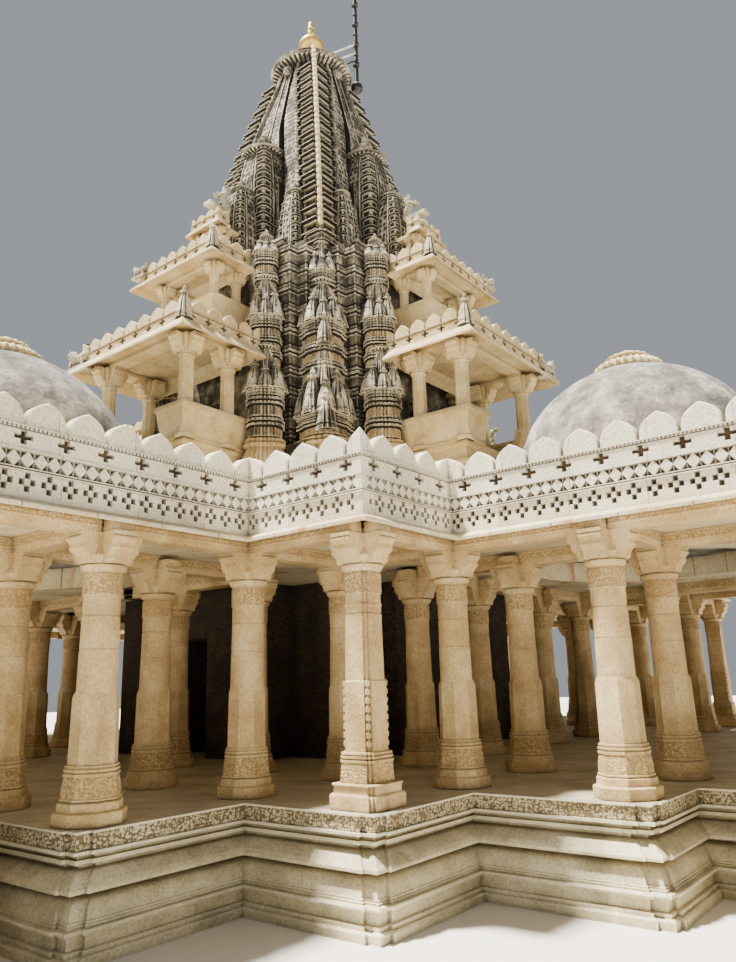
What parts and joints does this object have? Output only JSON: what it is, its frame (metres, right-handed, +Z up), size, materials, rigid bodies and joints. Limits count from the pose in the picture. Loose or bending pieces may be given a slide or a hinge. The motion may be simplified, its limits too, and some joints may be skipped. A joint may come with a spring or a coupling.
{
  "type": "hindu temple",
  "caption": "Stone temple hall on a stepped cross plinth, with open colonnades, domed arms, merlon parapets and a curved central tower with balconies.",
  "frame": {"origin": "centre of the cross plan at courtyard level, under the tower axis", "axes": "+Z up, +X along the east arm, +Y along the north arm"},
  "size_m": [29.14, 29.14, 27.77],
  "materials": {
    "plinth_stone": "worn dressed stone, grey green and cream",
    "column_stone": "carved sandstone, warm ochre",
    "parapet_stone": "pale carved stone",
    "porch_stone": "pale smooth stone",
    "tower_stone": "deeply carved stone, weathered grey and black",
    "dome_plaster": "speckled weathered lime plaster",
    "gilded_metal": "gilded metal",
    "pole_metal": "dark painted metal"
  },
  "bodies": {
    "root": {"colonnade_east_left": "column_stone", "colonnade_east_right": "column_stone", "colonnade_north_left": "column_stone", "colonnade_north_right": "column_stone", "colonnade_south_left": "column_stone", "colonnade_south_right": "column_stone", "colonnade_west_left": "column_stone", "colonnade_west_right": "column_stone", "corner_colonnade_east_north": "column_stone", "corner_colonnade_north_west": "column_stone", "corner_colonnade_south_east": "column_stone", "corner_colonnade_west_south": "column_stone", "dome_east": "dome_plaster", "dome_north": "dome_plaster", "dome_south": "dome_plaster", "dome_west": "dome_plaster", "flagpole": "pole_metal", "half_spires_east": "tower_stone", "half_spires_north": "tower_stone", "half_spires_south": "tower_stone", "half_spires_west": "tower_stone", "parapet_east": "parapet_stone", "parapet_north": "parapet_stone", "parapet_south": "parapet_stone", "parapet_west": "parapet_stone", "plinth_core": "plinth_stone", "plinth_east": "plinth_stone", "plinth_north": "plinth_stone", "plinth_south": "plinth_stone", "plinth_west": "plinth_stone", "porch_lower_east": "porch_stone", "porch_lower_north": "porch_stone", "porch_lower_south": "porch_stone", "porch_lower_west": "porch_stone", "porch_upper_east": "porch_stone", "porch_upper_north": "porch_stone", "porch_upper_south": "porch_stone", "porch_upper_west": "porch_stone", "roof_core": "parapet_stone", "roof_east": "parapet_stone", "roof_north": "parapet_stone", "roof_south": "parapet_stone", "roof_west": "parapet_stone", "sanctum_walls": "column_stone", "spirelets_east_north": "tower_stone", "spirelets_north_west": "tower_stone", "spirelets_south_east": "tower_stone", "spirelets_west_south": "tower_stone", "tower_amalaka": "tower_stone", "tower_kalasha": "gilded_metal", "tower_shaft": "tower_stone", "tower_spire": "tower_stone"}
  },
  "joints": []
}
